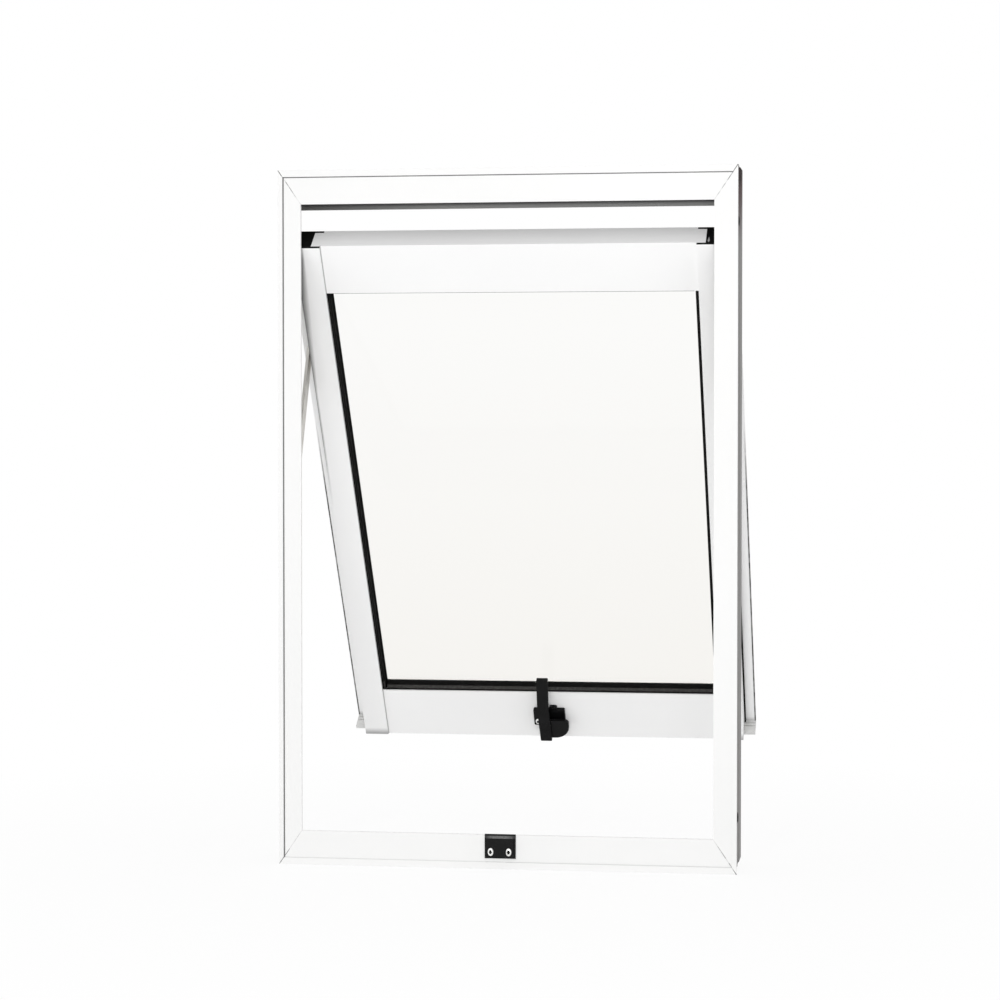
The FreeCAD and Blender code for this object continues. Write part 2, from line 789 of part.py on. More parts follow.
def stay(side):
    """Shoe in the track, arm from jamb to sash, bar on the sash, and their three pivots."""
    radius = number("pivot_radius")
    head = number("rivet_head")
    crown = number("rivet_crown")
    spacer = number("spacer_radius")
    gap = number("spacer_play")
    fit = number("pin_fit")
    arm_thick = number("arm_thick")
    bar_thick = number("bar_thick")
    upper = number("stay_upper")
    lower = number("stay_lower")
    play = number("shoe_play")
    wall = number("track_wall")
    track(side)

    shoe_thick = number("track_height - 2 * track_wall - 2 * shoe_play")
    shoe_width = number("track_width - 2 * track_wall - 2 * shoe_play")
    shoe_length = number("shoe_length")
    corner = FreeCAD.Vector(0, -shoe_width / 2, -shoe_length / 2)
    shoe = Part.makeBox(shoe_thick, shoe_width, shoe_length, corner)
    shoe = shoe.cut(rod(radius + fit, -past, shoe_thick + past))
    stay_node("shoe", side, shoe, side_place(side, wall + play, track_y, shoe_z))

    # Rotation about x that leans a link lying along z out of the window
    lean = -math.degrees(arm_angle)
    tilt = number("open_angle")
    arm_turn = FreeCAD.Rotation(X_AXIS, lean)
    arm = link_plate(lower, number("arm_width"), arm_thick, radius + fit)
    stay_node("arm", side, arm, side_place(side, arm_layer, track_y, arm_foot_z, arm_turn))

    bar_width = number("bar_width")
    top = number("shoe_down")
    corner = FreeCAD.Vector(0, -bar_width / 2, -upper - number("bar_past"))
    bar = Part.makeBox(bar_thick, bar_width, upper + number("bar_past") + top, corner)
    for z in (0, -upper):
        bar = bar.cut(rod(radius + fit, -past, bar_thick + past, 0, z))
    sash_turn = FreeCAD.Rotation(X_AXIS, tilt)
    stay_node("sash_bar", side, bar, side_place(side, bar_layer, track_y, shoe_z, sash_turn))

    # Each pivot: a shank through the holes, with a flange on each side of the link
    arm_face = arm_layer + arm_thick
    foot = rod(radius, wall, arm_face + crown)
    foot = foot.fuse(rod(head, wall, arm_layer - gap))
    foot = foot.fuse(rod(head, arm_face + gap, arm_face + crown))
    stay_node("jamb_pivot", side, foot, side_place(side, 0, track_y, arm_foot_z))

    sash_pivot_y = track_y + upper * math.sin(open_angle)
    sash_pivot_z = shoe_z - upper * math.cos(open_angle)
    knee = rod(radius, arm_layer - number("arm_play") + gap, bar_layer + bar_thick)
    knee = knee.fuse(rod(spacer, arm_layer - number("arm_play") + gap, arm_layer - gap))
    knee = knee.fuse(rod(spacer, arm_face + gap, bar_layer - gap))
    stay_node("sash_pivot", side, knee, side_place(side, 0, sash_pivot_y, sash_pivot_z))

    toe = rod(radius, wall + play, bar_layer + bar_thick)
    toe = toe.fuse(rod(spacer, wall + play + shoe_thick + gap, bar_layer - gap))
    stay_node("shoe_pivot", side, toe, side_place(side, 0, track_y, shoe_z))


for side in ("left", "right"):
    stay(side)


# Handle on the bottom rail. Its pin is the origin, and the rail's face is at y 0.

base_front = -number("base_thick")
cam_back = -number("cam_back")
lever_back = -number("lever_back")
lever_front = -number("lever_front")
handle_place = in_sash(-number("pin_left"), number("rail_set"), sash_low + number("handle_up"))


def disc(radius, front, back):
    """A round plate about the handle's pin, from its front to its back."""
    return Part.makeCylinder(radius, back - front, FreeCAD.Vector(0, front, 0), Y_AXIS)


def rounded_plate(corners, front, back):
    """A flat plate in x and z; each corner gives its place and how far it is rounded."""
    points = [FreeCAD.Vector(x, front, z) for x, z, radius in corners]
    arcs = []
    for i, (x, z, radius) in enumerate(corners):
        before = (points[i - 1] - points[i]).normalize()
        after = (points[(i + 1) % len(points)] - points[i]).normalize()
        half = before.getAngle(after) / 2
        reach = radius / math.tan(half)
        crown = (before + after).normalize() * (radius / math.sin(half) - radius)
        arcs.append(Part.Arc(points[i] + before * reach, points[i] + crown,
                             points[i] + after * reach))
    edges = []
    for i, arc in enumerate(arcs):
        edges.append(arc.toShape())
        edges.append(Part.LineSegment(arc.EndPoint, arcs[(i + 1) % len(arcs)].StartPoint).toShape())
    return Part.Face(Part.Wire(edges)).extrude(FreeCAD.Vector(0, back - front, 0))


def rectangle(left, foot, wide, tall, radius):
    """The four corners of a plate, all rounded alike."""
    return [(left, foot, radius), (left + wide, foot, radius),
            (left + wide, foot + tall, radius), (left, foot + tall, radius)]


def handle_base():
    """Plate on the rail, with a small tab on its top and a boss that the cam turns on."""
    radius = number("base_round")
    tall = number("base_height")
    foot = -number("base_below")
    plate = rectangle(-number("base_left"), foot, number("base_width"), tall, radius)
    # The tab runs down behind the plate's top edge, so that the two are one piece
    tab = rectangle(number("tab_right"), foot + tall / 2, number("tab_width"),
                    tall / 2 + number("tab_height"), radius)
    base = rounded_plate(plate, base_front, 0)
    base = base.fuse(rounded_plate(tab, base_front + number("tab_set"), 0))
    base = base.fuse(disc(number("boss_radius"), cam_back + number("cam_gap"), base_front))
    shape_node("handle_base", base, handle_place)


def handle_lever():
    """A strap with a slight knee and a rounded cam behind its foot, bored for the pin."""
    half = number("lever_width") / 2
    lean = number("lever_lean")
    tail = number("tail_lean")
    top = number("lever_top")
    knee = number("lever_knee")
    foot = -number("lever_tail")
    tip = number("lever_round")
    bend = number("lever_bend")
    strap = rounded_plate([
        (tail - half, foot, tip), (tail + half, foot, tip), (half, knee, bend),
        (lean + half, top, tip), (lean - half, top, tip), (-half, knee, bend),
    ], lever_front, lever_back)
    left = -number("cam_left")
    reach = number("cam_reach")
    low = -number("cam_below")
    high = number("cam_above")
    cam = rounded_plate([
        (left, low, tip), (reach, low, number("cam_round_foot")),
        (reach, high, number("cam_round_top")), (left, high, tip),
    ], lever_back, cam_back)
    fit = number("handle_pin_fit")
    seat = lever_front + number("pin_head_thick + pin_head_play")
    lever = strap.fuse(cam)
    lever = lever.cut(disc(number("handle_pin") + fit, lever_front - past, cam_back + past))
    lever = lever.cut(disc(number("handle_pin_head") + fit, lever_front - past, seat))
    shape_node("handle_lever", lever, handle_place)


def handle_pin():
    """Pin that stands on the base's boss, its head let into the lever's face."""
    under_head = lever_front + number("pin_head_thick")
    pin = disc(number("handle_pin"), under_head, cam_back + number("cam_gap"))
    pin = pin.fuse(disc(number("handle_pin_head"), lever_front, under_head))
    shape_node("handle_pin", pin, handle_place)


handle_base()
handle_lever()
handle_pin()


# Keeper on the sill: a back plate, and a raised block with a ramp for the cam

keeper = new_body("keeper")
keeper_top = "face_head + keeper_past"
keeper_plate = outline(keeper, "keeper_plate_outline", "XY_Plane", [[
    ("lip_head + keeper_up", "0"),
    ("lip_head + keeper_up", "-keeper_plate"),
    (keeper_top, "-keeper_plate"),
    (keeper_top, "0"),
]])
pad(keeper, "keeper_back", keeper_plate, "keeper_width")
keeper_block = outline(keeper, "keeper_block_outline", "XY_Plane", [[
    ("lip_head + keeper_up + keeper_inset", "-keeper_plate"),
    ("lip_head + keeper_up + keeper_inset", "-keeper_depth"),
    (keeper_top + " - keeper_rim - keeper_ramp", "-keeper_depth"),
    (keeper_top + " - keeper_rim", "-keeper_plate"),
]])
pad(keeper, "keeper_block", keeper_block, "keeper_width - 2 * keeper_inset")
keep(keeper, "keeper", in_window(-number("keeper_left"), number("lip_step"), 0, turned("sill")))

doc.recompute()

os.makedirs("parts", exist_ok=True)
for item in doc.Objects:
    if "Invalid" in item.State or "Error" in item.State:
        raise RuntimeError(item.Label + " failed: " + str(item.State))
for item in nodes:
    if item.Shape.isNull() or not item.Shape.isValid():
        raise RuntimeError(item.Label + " has no valid shape")
for item in nodes:
    item.Shape.exportStep("parts/" + item.Label + ".step")
print(len(nodes), "sub-parts; sash top edge at y %.2f z %.2f" % (sash_y, sash_z))
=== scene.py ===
# %% [markdown]
# # A small top hung window, pushed open
# This is a white aluminium bathroom window of the kind that hangs from its top edge.
# The sash is pushed out at the foot and stays there by friction in two steel stays.
# The CAD model gives every section its true size, so this lesson is about finish:
# powder coat, glass, rubber, black hardware and the light that shows them.

# %% Load the window
import bpy
import bmesh
import json
import math
from mathutils import Matrix, Vector


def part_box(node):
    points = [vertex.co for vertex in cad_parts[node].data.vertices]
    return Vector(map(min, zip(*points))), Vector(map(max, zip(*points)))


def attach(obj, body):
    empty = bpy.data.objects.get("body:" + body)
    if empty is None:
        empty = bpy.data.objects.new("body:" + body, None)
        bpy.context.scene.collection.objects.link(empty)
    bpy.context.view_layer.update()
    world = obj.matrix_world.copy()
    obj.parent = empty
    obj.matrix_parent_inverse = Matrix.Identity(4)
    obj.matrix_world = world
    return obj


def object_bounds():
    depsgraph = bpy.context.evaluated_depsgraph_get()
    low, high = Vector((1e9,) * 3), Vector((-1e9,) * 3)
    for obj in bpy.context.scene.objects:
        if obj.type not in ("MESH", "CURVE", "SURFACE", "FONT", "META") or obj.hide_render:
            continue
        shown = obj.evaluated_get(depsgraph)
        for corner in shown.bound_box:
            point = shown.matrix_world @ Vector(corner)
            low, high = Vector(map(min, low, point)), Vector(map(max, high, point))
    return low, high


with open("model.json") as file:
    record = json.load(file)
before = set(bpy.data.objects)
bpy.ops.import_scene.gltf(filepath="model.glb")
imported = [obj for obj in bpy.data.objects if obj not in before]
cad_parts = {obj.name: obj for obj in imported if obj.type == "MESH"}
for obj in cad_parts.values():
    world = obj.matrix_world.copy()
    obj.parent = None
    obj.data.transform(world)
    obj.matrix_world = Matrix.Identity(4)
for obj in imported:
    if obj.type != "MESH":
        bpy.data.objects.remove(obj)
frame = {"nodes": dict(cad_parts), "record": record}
cad_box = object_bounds()
slot_of = {row["node"]: row["material_slot"] for row in frame["record"]["subparts"]}
print("nodes:", len(frame["nodes"]), "box:", cad_box)

# %% [markdown]
# ## The camera
# The camera stands in the room, a little right of the window and a little above its
# middle, and looks slightly left and down. Three directions make its turn: right,
# up and back. Written as columns of a matrix they place it without any guesswork.

# %% Camera
CAMERA_PLACE = Vector((0.336, -2.333, 0.3741))
YAW = math.radians(8.41)
PITCH = math.radians(1.56)


def aim(place, look, right):
    """A matrix that stands at a place and looks along a direction."""
    up = right.cross(look)
    return Matrix.Translation(place) @ Matrix((right, up, -look)).transposed().to_4x4()


look = Vector((-math.sin(YAW) * math.cos(PITCH), math.cos(YAW) * math.cos(PITCH),
               -math.sin(PITCH)))
right = Vector((math.cos(YAW), math.sin(YAW), 0))
lens = bpy.data.cameras.new("room_camera")
lens.sensor_width = 36.0
lens.lens = 98.14
lens.clip_end = 60
camera = bpy.data.objects.new("room_camera", lens)
camera.matrix_world = aim(CAMERA_PLACE, look, right)
bpy.context.scene.collection.objects.link(camera)
bpy.context.scene.camera = camera
print("camera", [round(v, 3) for v in camera.location])

# %% [markdown]
# ## Small helpers for shader nodes
# A material is a little graph. These helpers add a node, set its plain sockets and
# join it to others, so that each finish below reads as a short recipe.

# %% Shader helpers


class Finish:
    """One material and its graph, with the Principled shader already in place."""

    def __init__(self, name, slot):
        self.material = bpy.data.materials.new(name)
        self.material.use_nodes = True
        self.tree = self.material.node_tree
        self.skin = self.tree.nodes["Principled BSDF"]
        self.output = self.tree.nodes["Material Output"]
        self.place = self.node("ShaderNodeTexCoord").outputs["Object"]
        self.slot = slot

    def node(self, kind, settings=None, **sockets):
        made = self.tree.nodes.new(kind)
        for key, value in (settings or {}).items():
            setattr(made, key, value)
        for key, value in sockets.items():
            self.feed(made.inputs[key.replace("_", " ")], value)
        return made

    def feed(self, socket, value):
        if isinstance(value, bpy.types.NodeSocket):
            self.tree.links.new(value, socket)
        else:
            socket.default_value = value

    def math(self, operation, first, second=0.0, third=0.0):
        made = self.node("ShaderNodeMath", {"operation": operation})
        for socket, value in zip(made.inputs, (first, second, third)):
            self.feed(socket, value)
        return made.outputs[0]

    def noise(self, scale, detail=3.0, stretch=None, roughness=0.5):
        """Noise in metres: scale is how many blotches fit in a metre."""
        place = self.place
        if stretch:
            place = self.node("ShaderNodeMapping", Vector=place, Scale=stretch).outputs[0]
        return self.node("ShaderNodeTexNoise", Vector=place, Scale=scale, Detail=detail,
                         Roughness=roughness).outputs[0]

    def inside(self, value, low, high):
        """One where a value lies between two limits, and nought elsewhere."""
        return self.math("MULTIPLY", self.math("GREATER_THAN", value, low),
                         self.math("LESS_THAN", value, high))

    def both(self, first, *others):
        for other in others:
            first = self.math("MULTIPLY", first, other)
        return first

    def between(self, value, low, high, into_low, into_high):
        """Spread a value from one range to another."""
        made = self.node("ShaderNodeMapRange")
        for name, number in (("From Min", low), ("From Max", high),
                             ("To Min", into_low), ("To Max", into_high)):
            made.inputs[name].default_value = number
        self.feed(made.inputs["Value"], value)
        return made.outputs[0]

    def blend(self, amount, first, second):
        """Mix two colours by an amount from 0 to 1."""
        made = self.node("ShaderNodeMix", {"data_type": "RGBA"})
        self.feed(made.inputs[0], amount)
        for socket, value in ((made.inputs[6], first), (made.inputs[7], second)):
            self.feed(socket, value if isinstance(value, bpy.types.NodeSocket) else (*value, 1.0))
        return made.outputs[2]

    def bump(self, height, distance, strength=1.0, before=None):
        made = self.node("ShaderNodeBump", Height=height, Distance=distance, Strength=strength)
        if before is not None:
            self.feed(made.inputs["Normal"], before)
        return made.outputs[0]

    def set(self, **sockets):
        for key, value in sockets.items():
            self.feed(self.skin.inputs[key.replace("_", " ")], value)


finishes = {}

# %% [markdown]
# ## White powder coat
# Powder is sprayed on the extrusions dry and melts in an oven. It flows into a smooth
# skin with a very fine orange peel, which blurs reflections a little. Two scales of
# bump noise do that here, and a slow cloud keeps the white from being one flat colour.

# %% Powder coat


def powder_coat(name, base, shade, rough):
    coat = Finish(name, "white_aluminium")
    cloud = coat.noise(7.0, 4.0)
    peel = coat.noise(900.0, 2.0)
    grain = coat.noise(5200.0, 1.0)
    coat.colour = coat.blend(coat.between(cloud, 0.35, 0.7, 0.0, 1.0), base, shade)
    coat.rough = coat.between(peel, 0.3, 0.7, rough - 0.04, rough + 0.05)
    coat.set(Base_Color=coat.colour, Roughness=coat.rough, IOR=1.5, Specular_IOR_Level=0.3)
    coat.set(Normal=coat.bump(grain, 0.00001, 0.25, coat.bump(peel, 0.00003, 0.35)))
    split = coat.node("ShaderNodeSeparateXYZ", Vector=coat.place)
    coat.x, coat.y, coat.z = split.outputs
    return coat


def stain(coat, amount, colour):
    """Lay one more colour over the coat, where an amount says so."""
    coat.colour = coat.blend(amount, coat.colour, colour)
    coat.set(Base_Color=coat.colour)


# Painted shade and light: one white coat, given darker on the frame and whiter on the sash
frame_coat = powder_coat("powder_coat_frame", (0.875, 0.875, 0.87), (0.86, 0.86, 0.855), 0.40)
sash_coat = powder_coat("powder_coat_sash", (0.97, 0.97, 0.97), (0.955, 0.955, 0.955), 0.38)
finishes["white_aluminium"] = sash_coat
print("coats:", frame_coat.material.name, sash_coat.material.name)

# %% [markdown]
# ## Hairlines and painted shadow lines on the frame
# The mitres are only pressed together and show as dark hairlines on the room side.
# Where the trim lip meets the face, painted shadow lines stand in for the lip's shade.
# Drawing them as shapes would take thousands of slivers, so the material works them out
# from the place on the object: how far a point is from the mitre's plane, or from the lip's inner
# edge.

# %% Hairlines
HALF_WIDTH = 0.198
MIDDLE_Z = 0.2941
HALF_HEIGHT = 0.300
FACE_SIDE = 0.020
FACE_HEAD = 0.0295
LIP_SIDE = 0.004
LIP_HEAD = 0.0059
ROOM_SIDE = -0.0287

across = frame_coat.math("SUBTRACT", frame_coat.math("ABSOLUTE", frame_coat.x), HALF_WIDTH)
level = frame_coat.math("ABSOLUTE", frame_coat.math("SUBTRACT", frame_coat.z, MIDDLE_Z))
level = frame_coat.math("SUBTRACT", level, HALF_HEIGHT)
front = frame_coat.math("LESS_THAN", frame_coat.y, ROOM_SIDE)
run = math.hypot(FACE_SIDE, FACE_HEAD)
off = frame_coat.math("SUBTRACT", frame_coat.math("MULTIPLY", across, FACE_HEAD / run),
                      frame_coat.math("MULTIPLY", level, FACE_SIDE / run))
MITRE_HALF = 0.00036
close = frame_coat.math("LESS_THAN", frame_coat.math("ABSOLUTE", off), MITRE_HALF)
fade = frame_coat.between(across, -FACE_SIDE, -LIP_SIDE, 0.30, 0.90)
worn = frame_coat.between(frame_coat.noise(170.0, 3.0), 0.40, 0.56, 0.25, 1.0)
stain(frame_coat, frame_coat.both(close, front, fade, worn), (0.10, 0.10, 0.10))

# Painted shadow in the corner at the foot of the lip: clear at the left and the top, faint at the
# sill
in_sides = frame_coat.math("LESS_THAN", level, -LIP_HEAD)
in_ends = frame_coat.math("LESS_THAN", across, -LIP_SIDE)
left_edge = LIP_SIDE - HALF_WIDTH
top_edge = MIDDLE_Z + HALF_HEIGHT - LIP_HEAD
LEFT_LINE, TOP_LINE, SILL_LINE = 0.00115, 0.0009, 0.0006
left_lip_shadow = frame_coat.both(frame_coat.inside(frame_coat.x, left_edge, left_edge + LEFT_LINE),
                            in_sides, front)
top_lip_shadow = frame_coat.both(frame_coat.inside(frame_coat.z, top_edge - TOP_LINE, top_edge),
                           in_ends, front)
sill_lip_shadow = frame_coat.both(frame_coat.inside(frame_coat.z, 0.0, SILL_LINE), in_ends, front)
# Painted shadow lines beside the lip, darkest at the left and the top
stain(frame_coat, left_lip_shadow, (0.17, 0.17, 0.17))
stain(frame_coat, top_lip_shadow, (0.17, 0.17, 0.17))
stain(frame_coat, frame_coat.math("MULTIPLY", sill_lip_shadow, 0.35), (0.40, 0.40, 0.40))
print("hairlines: mitres, lip at the left, head and sill")

# %% [markdown]
# ## Painted shade on the outer sides
# The outer sides go into the wall. They get a rough finish and painted shade, a flat grey.
# The same trick of reading the place on the object finds them: far out to the side, and
# behind the room face.

# %% Painted shade on the outer sides
OUTER_SIDE = 0.1972
outer = frame_coat.math("GREATER_THAN", frame_coat.math("ABSOLUTE", frame_coat.x), OUTER_SIDE)
behind = frame_coat.math("GREATER_THAN", frame_coat.y, ROOM_SIDE)
shaded_sides = frame_coat.both(outer, behind)
# Painted shade: the outer sides turn grey
stain(frame_coat, shaded_sides, (0.33, 0.325, 0.32))
frame_coat.set(Roughness=frame_coat.math("MAXIMUM", frame_coat.rough, frame_coat.both(shaded_sides, 0.95)))
print("thin coat outside |x| =", OUTER_SIDE)

# %% [markdown]
# At the top of the right side the grey turns reddish brown and then near black towards the
# top. Noise pushes its edge up and down, so that it ends in smears.

# %% Dark top of the right side
smears = frame_coat.noise(26.0, 5.0, (1.0, 1.0, 0.35))
smeared_z = frame_coat.math("ADD", frame_coat.z,
                          frame_coat.between(smears, 0.30, 0.70, -0.010, 0.010))
on_right = frame_coat.both(shaded_sides, frame_coat.math("GREATER_THAN", frame_coat.x, 0.0))
fine_breakup = frame_coat.between(frame_coat.noise(210.0, 4.0), 0.35, 0.65, 0.80, 1.0)
REDDISH_BAND = (0.530, 0.572, 1.0, (0.100, 0.064, 0.064))
BLACK_BAND = (0.578, 0.587, 0.88, (0.016, 0.010, 0.009))
# Reddish brown, then near black, towards the top of the right side
for low, high, most, colour in (REDDISH_BAND, BLACK_BAND):
    darkened = frame_coat.both(on_right, frame_coat.between(smeared_z, low, high, 0.0, most), fine_breakup)
    stain(frame_coat, darkened, colour)
print("scuff at the top of the right side, from", REDDISH_BAND[0], "up")

# %% [markdown]
# Painted shade lies in the deep channel under the head: grey, darkest along its top, where no
# light gets in, and darker towards the left.

# %% Channel
CHANNEL_FOOT, CHANNEL_TOP, CHANNEL_BACK = 0.5641, 0.5875, 0.0300
SIDE_WALL = 0.0016
channel = frame_coat.both(frame_coat.math("LESS_THAN", across, -SIDE_WALL), behind,
                          frame_coat.math("LESS_THAN", frame_coat.y, CHANNEL_BACK),
                          frame_coat.inside(frame_coat.z, CHANNEL_FOOT, CHANNEL_TOP))
shaded = frame_coat.blend(frame_coat.between(frame_coat.z, 0.5662, 0.5692, 0.0, 1.0),
                        (0.40, 0.40, 0.395), (0.04, 0.04, 0.04))
to_left = frame_coat.between(frame_coat.x, -0.17, -0.06, 0.55, 0.0)
shaded = frame_coat.blend(to_left, shaded, (0.06, 0.06, 0.06))
# Painted shade in the channel
stain(frame_coat, channel, shaded)
print("dull channel under the head")

# %% [markdown]
# ## Where the sash is
# The sash leans out, so places on it are easier to say in its own terms: across, in
# from its room face and up from its top edge. A small function turns them into places
# on the object, and a Mapping node does the reverse for materials.

# %% Sash place
SASH_TOP = Vector((0.0, -0.025967, 0.528134))
LEAN = math.radians(34.8)
SASH_TURN = Matrix.Rotation(LEAN, 3, "X")
SASH_ROOM = SASH_TURN @ Vector((0, -1, 0))


def on_sash(x, y, z):
    return SASH_TOP + SASH_TURN @ Vector((x, y, z))


def sash_axes(finish):
    """Across, in and up on the sash, from the place on the object."""
    back = -(SASH_TURN.transposed() @ SASH_TOP)
    turned = finish.node("ShaderNodeMapping", Vector=finish.place, Rotation=(-LEAN, 0, 0),
                         Location=back)
    return finish.node("ShaderNodeSeparateXYZ", Vector=turned.outputs[0]).outputs


SASH_HEIGHT = 0.556
print("sash foot at", [round(v, 4) for v in on_sash(0, 0, -SASH_HEIGHT)])

# %% [markdown]
# ## The joint between stile and rail
# The two rails are screwed between the stiles, set back by 1.5 mm. At the left the
# shade in that corner draws a thin line, which the sash's coat gets in the same way.

# %% Stile joint
RAIL_END = 0.1626
sash_x, into_sash, up_sash = sash_axes(sash_coat)
room_face = sash_coat.math("LESS_THAN", into_sash, 0.0025)
JOINT_LINE = 0.0007
joint = sash_coat.inside(sash_x, -RAIL_END - 0.00005, -RAIL_END + JOINT_LINE)
stain(sash_coat, sash_coat.both(joint, room_face, 0.5), (0.10, 0.10, 0.10))
print("joint line at", -RAIL_END)

# %% [markdown]
# The stiles are sawn off at the foot, and painted shade greys their last few millimetres.
# A painted shade line runs along the flange's long outer edge. It starts a third of the way down.

# %% Painted shade at the feet and flange edges
FLANGE_EDGE = 0.196
EDGE_SHADE = 0.0013
stiles = sash_coat.math("GREATER_THAN", sash_coat.math("ABSOLUTE", sash_x), RAIL_END)
foot = sash_coat.between(up_sash, 0.0010 - SASH_HEIGHT, 0.0080 - SASH_HEIGHT, 0.72, 0.0)
# Painted shade on the last few millimetres of the stiles
stain(sash_coat, sash_coat.both(stiles, foot), (0.20, 0.20, 0.20))
EDGE_LINE_FULL, EDGE_LINE_START = -0.28, -0.20
edge = sash_coat.math("GREATER_THAN", sash_coat.math("ABSOLUTE", sash_x), FLANGE_EDGE - EDGE_SHADE)
edge = sash_coat.both(edge, sash_coat.between(up_sash, EDGE_LINE_FULL, EDGE_LINE_START, 1.0, 0.0))
patchy = sash_coat.between(sash_coat.noise(140.0, 3.0), 0.3, 0.6, 0.75, 1.0)
# Painted shade line along the flange's outer edge
stain(sash_coat, sash_coat.both(edge, patchy), (0.055, 0.055, 0.055))
print("worn foot and flange edge")

# %% [markdown]
# Near the top the stiles stay close behind the jambs, and a painted shadow of the jambs lies
# along their outer edge. It is wide at the top and narrows on the way down. The shade
# is a ramp across the face, and its middle and softness are ramps along the stile.

# %% Shade on the stiles
STILE_EDGE = 0.185
SHADE_TOP, SHADE_BEND, SHADE_END = -0.013, -0.055, -0.155
inward_of = sash_coat.math("SUBTRACT", STILE_EDGE, sash_coat.math("ABSOLUTE", sash_x))
centre = sash_coat.math("ADD", sash_coat.between(up_sash, SHADE_BEND, SHADE_TOP, 0.0, 0.0034),
                        sash_coat.between(up_sash, SHADE_END, SHADE_BEND, 0.0010, 0.0033))
soft = sash_coat.math("SUBTRACT", sash_coat.between(up_sash, SHADE_BEND, SHADE_TOP, 0.0068, 0.0027),
                      sash_coat.between(up_sash, SHADE_END, SHADE_BEND, 0.0043, 0.0))
ramp = sash_coat.math("DIVIDE", sash_coat.math("SUBTRACT", inward_of, centre), soft)
shade_on = sash_coat.both(sash_coat.between(ramp, -0.5, 0.5, 0.84, 0.0), room_face, stiles,
                          sash_coat.between(up_sash, EDGE_LINE_FULL, EDGE_LINE_START, 0.0, 1.0))
# Painted shadow of the jambs along the stiles' outer edge
stain(sash_coat, shade_on, (0.02, 0.02, 0.02))
print("shade along the stiles' outer edges, down to", SHADE_END)

# %% [markdown]
# ## Glass
# Float glass is almost clear. Seen through its edge it is green, and lit by a plain
# white room it looks faintly warm. Light that only casts a shadow passes a clear
# shader instead, because glass doesn't throw a dark shadow.

# %% Glass
glass = Finish("float_glass", "clear_glass")
ripple = glass.noise(9.0, 2.0)
smear = glass.noise(38.0, 5.0)
height = glass.node("ShaderNodeSeparateXYZ", Vector=glass.place).outputs[2]
# Painted shade: the glass's faint warm tint turns darker towards the bottom
SHADED_LOW_TINT, HIGH_TINT = (0.915, 0.900, 0.868), (0.965, 0.963, 0.950)
tint_and_shade = glass.blend(glass.between(height, 0.10, 0.46, 0.0, 1.0), SHADED_LOW_TINT, HIGH_TINT)
glass.set(Base_Color=tint_and_shade, Transmission_Weight=1.0, IOR=1.15,
          Roughness=glass.between(smear, 0.45, 0.8, 0.0, 0.035),
          Normal=glass.bump(ripple, 0.0004, 0.06))
shadow = glass.node("ShaderNodeBsdfTransparent", Color=(0.93, 0.94, 0.93, 1.0))
choice = glass.node("ShaderNodeMixShader")
glass.feed(choice.inputs[0], glass.node("ShaderNodeLightPath").outputs["Is Shadow Ray"])
glass.feed(choice.inputs[1], glass.skin.outputs[0])
glass.feed(choice.inputs[2], shadow.outputs[0])
glass.feed(glass.output.inputs[0], choice.outputs[0])
finishes["clear_glass"] = glass
print("glass ready")

# %% [markdown]
# ## Rubber and black plastic
# Seals and gaskets are extruded rubber: matte, a little dusty, with fine marks along
# their length. The corner caps are moulded plastic with a fine spark texture.

# %% Rubber and plastic


def black_skin(name, slot, base, dust, rough, scale, depth, level):
    """A black finish: fine texture, a breath of dust, and a soft sheen."""
    skin = Finish(name, slot)
    fine = skin.noise(scale, 3.0)
    patches = skin.noise(60.0, 4.0)
    skin.colour = skin.blend(skin.between(patches, 0.45, 0.85, 0.0, 1.0), base, dust)
    skin.set(Base_Color=skin.colour, Specular_IOR_Level=level,
             Roughness=skin.between(fine, 0.3, 0.7, rough - 0.06, rough + 0.08),
             Normal=skin.bump(fine, depth, 0.6))
    return skin


finishes["black_rubber"] = black_skin("seal_rubber", "black_rubber", (0.0040, 0.0040, 0.0040),
                                      (0.0085, 0.0085, 0.0080), 0.66, 2600.0, 0.00004, 0.08)
finishes["black_plastic"] = black_skin("cap_plastic", "black_plastic", (0.0045, 0.0045, 0.0045),
                                       (0.0100, 0.0100, 0.0100), 0.50, 3600.0, 0.00003, 0.12)
finishes["black_metal"] = black_skin("black_hardware", "black_metal", (0.0028, 0.0028, 0.0030),
                                     (0.0065, 0.0065, 0.0070), 0.34, 3000.0, 0.00002, 0.11)
finishes["nylon_shoe"] = black_skin("shoe_nylon", "nylon_shoe", (0.05, 0.05, 0.05),
                                    (0.08, 0.08, 0.078), 0.55, 2200.0, 0.00002, 0.20)
finishes["grey_plastic"] = black_skin("plug_plastic", "grey_plastic", (0.74, 0.74, 0.73),
                                      (0.60, 0.60, 0.585), 0.55, 3000.0, 0.00003, 0.30)
print("black finishes:", [key for key in finishes if key.startswith("black")])

# %% [markdown]
# ## Painted highlights on the black parts
# A painted highlight lies on the gasket under the glass, on the side that faces up. On the keeper
# a painted highlight brightens the ramp, most in its middle and fainter towards its ends.

# %% Painted highlights
rubber = finishes["black_rubber"]
_, into_seal, up_seal = sash_axes(rubber)
LEDGE, LEDGE_FROM, LEDGE_TO = -0.4935, 0.0040, 0.0076
lit_ledge = rubber.both(rubber.math("LESS_THAN", up_seal, LEDGE),
                    rubber.inside(into_seal, LEDGE_FROM, LEDGE_TO))
highlight_breakup = rubber.between(rubber.noise(420.0, 4.0), 0.3, 0.7, 0.5, 1.0)
# Painted highlight on the up-facing side of the gasket under the glass
stain(rubber, rubber.math("MULTIPLY", lit_ledge, highlight_breakup), (0.070, 0.068, 0.066))

